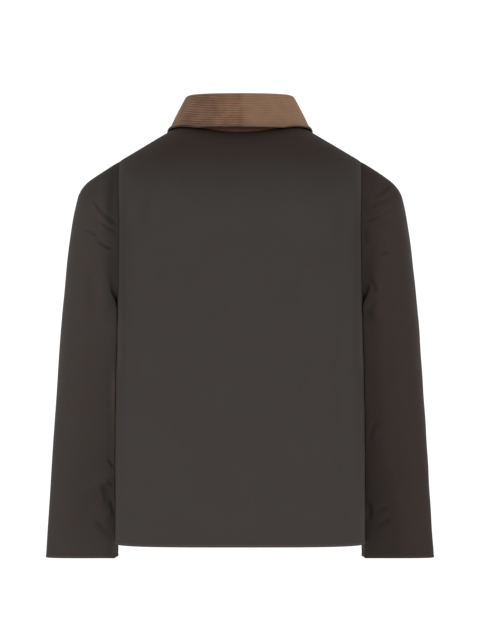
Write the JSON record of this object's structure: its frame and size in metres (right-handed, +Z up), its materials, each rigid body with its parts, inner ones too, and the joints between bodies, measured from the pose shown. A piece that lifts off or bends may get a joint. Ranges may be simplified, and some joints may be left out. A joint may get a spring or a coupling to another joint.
{
  "type": "waxed cotton jacket",
  "caption": "Boxy hip-length waxed cotton jacket with a turned-down corduroy collar, held open as if worn; keeps wind and rain off the upper body.",
  "frame": {"origin": "the middle of the neck opening, level with the back neck seam, where the wearer's neck and shoulders carry the jacket", "axes": "+Z up towards the collar, the back faces +Y and the fronts face -Y, +X is the wearer's left"},
  "size_m": [0.6248, 0.2589, 0.7417],
  "materials": {
    "waxed_cotton": "dark charcoal brown waxed cotton with a soft satin sheen",
    "corduroy": "tan brown fine-wale corduroy",
    "button_horn": "dark brown horn-like resin"
  },
  "bodies": {
    "root": {"back": "waxed_cotton", "front_left": "waxed_cotton", "front_right": "waxed_cotton", "sleeve_left": "waxed_cotton", "sleeve_right": "waxed_cotton", "collar_under": "waxed_cotton", "collar_top": "corduroy", "button_1": "button_horn", "button_2": "button_horn", "button_3": "button_horn", "button_4": "button_horn", "button_5": "button_horn"}
  },
  "joints": []
}
